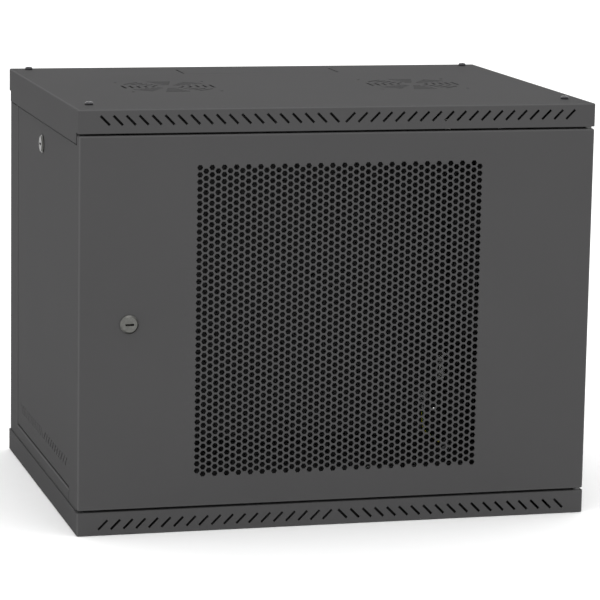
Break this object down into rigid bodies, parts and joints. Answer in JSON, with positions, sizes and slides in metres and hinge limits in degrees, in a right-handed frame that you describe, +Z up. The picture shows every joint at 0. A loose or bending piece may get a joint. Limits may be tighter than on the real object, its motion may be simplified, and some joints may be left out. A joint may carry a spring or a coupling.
{
  "type": "wall-mounted network rack cabinet",
  "caption": "Wall-mounted network cabinet with a hinged perforated door, lift-off side panels with locks, and vented roof and base.",
  "frame": {"origin": "centre of the underside of the base", "axes": "+X to the right seen from the door, +Y from the door to the wall, +Z up"},
  "size_m": [0.601, 0.453, 0.4836],
  "materials": {
    "powder_coat": "fine texture",
    "zinc_plate": "satin",
    "dark_zinc": "satin",
    "chromed_metal": "satin",
    "nylon": "matte",
    "lead_insulation": "satin"
  },
  "bodies": {
    "cabinet": {"base": "powder_coat", "base_screws": "zinc_plate", "depth_rail_lower_left": "powder_coat", "depth_rail_lower_right": "powder_coat", "depth_rail_nuts": "zinc_plate", "depth_rail_screws": "zinc_plate", "depth_rail_upper_left": "powder_coat", "depth_rail_upper_right": "powder_coat", "earth_lead": "lead_insulation", "earth_lugs": "zinc_plate", "earth_nuts": "zinc_plate", "earth_studs": "zinc_plate", "earth_washers": "zinc_plate", "front_upright_left": "powder_coat", "front_upright_right": "powder_coat", "hinge_washers": "nylon", "rack_rail_left": "powder_coat", "rack_rail_nuts": "zinc_plate", "rack_rail_right": "powder_coat", "rack_rail_screws": "zinc_plate", "rear_panel": "powder_coat", "rear_panel_screws": "zinc_plate", "rear_upright_left": "powder_coat", "rear_upright_right": "powder_coat", "roof": "powder_coat", "roof_nuts": "zinc_plate", "roof_screws": "dark_zinc", "side_header_left": "powder_coat", "side_header_right": "powder_coat", "side_sill_left": "powder_coat", "side_sill_right": "powder_coat", "wall_plates": "zinc_plate"},
    "door": {"door_panel": "powder_coat", "door_stiffener_left": "powder_coat", "door_stiffener_right": "powder_coat", "hinge_pin_lower": "zinc_plate", "hinge_guide_lower": "powder_coat", "hinge_guide_upper": "powder_coat", "door_lock_housing": "chromed_metal", "door_lock_nut": "zinc_plate"},
    "hinge_pin": {"hinge_pin_upper": "zinc_plate", "hinge_spring": "zinc_plate"},
    "door_lock_core": {"door_lock_plug": "chromed_metal", "door_lock_cam": "zinc_plate", "door_lock_cam_screw": "zinc_plate"},
    "side_panel_left": {"side_panel_left": "powder_coat", "side_lock_left_housing": "chromed_metal", "side_lock_left_nut": "zinc_plate"},
    "side_lock_core_left": {"side_lock_left_plug": "chromed_metal", "side_lock_left_cam": "zinc_plate", "side_lock_left_cam_screw": "zinc_plate"},
    "side_panel_right": {"side_panel_right": "powder_coat", "side_lock_right_housing": "chromed_metal", "side_lock_right_nut": "zinc_plate"},
    "side_lock_core_right": {"side_lock_right_plug": "chromed_metal", "side_lock_right_cam": "zinc_plate", "side_lock_right_cam_screw": "zinc_plate"}
  },
  "joints": [
    {"name": "door_hinge", "type": "hinge", "parent": "cabinet", "child": "door", "pos_m": [0.2938, -0.219, 0.24], "axis": [0, 0, 1], "range_deg": [0, 180]},
    {"name": "hinge_pin_release", "type": "slide", "parent": "door", "child": "hinge_pin", "axis": [0, 0, -1], "range_m": [0, 0.008], "stiffness_N_per_m": 400, "springref_m": -0.004, "deforming": ["hinge_spring"]},
    {"name": "door_lock_turn", "type": "hinge", "parent": "door", "child": "door_lock_core", "pos_m": [-0.2417, -0.225, 0.24], "axis": [0, -1, 0], "range_deg": [0, 90]},
    {"name": "side_panel_tilt_left", "type": "hinge", "parent": "cabinet", "child": "side_panel_left", "pos_m": [-0.2975, 0.00325, 0.043], "axis": [0, -1, 0], "range_deg": [0, 20]},
    {"name": "side_lock_turn_left", "type": "hinge", "parent": "side_panel_left", "child": "side_lock_core_left", "pos_m": [-0.2975, 0.007, 0.4138], "axis": [1, 0, 0], "range_deg": [0, 90]},
    {"name": "side_panel_tilt_right", "type": "hinge", "parent": "cabinet", "child": "side_panel_right", "pos_m": [0.2975, 0.00325, 0.043], "axis": [0, 1, 0], "range_deg": [0, 20]},
    {"name": "side_lock_turn_right", "type": "hinge", "parent": "side_panel_right", "child": "side_lock_core_right", "pos_m": [0.2975, 0.007, 0.4138], "axis": [1, 0, 0], "range_deg": [0, 90]}
  ]
}
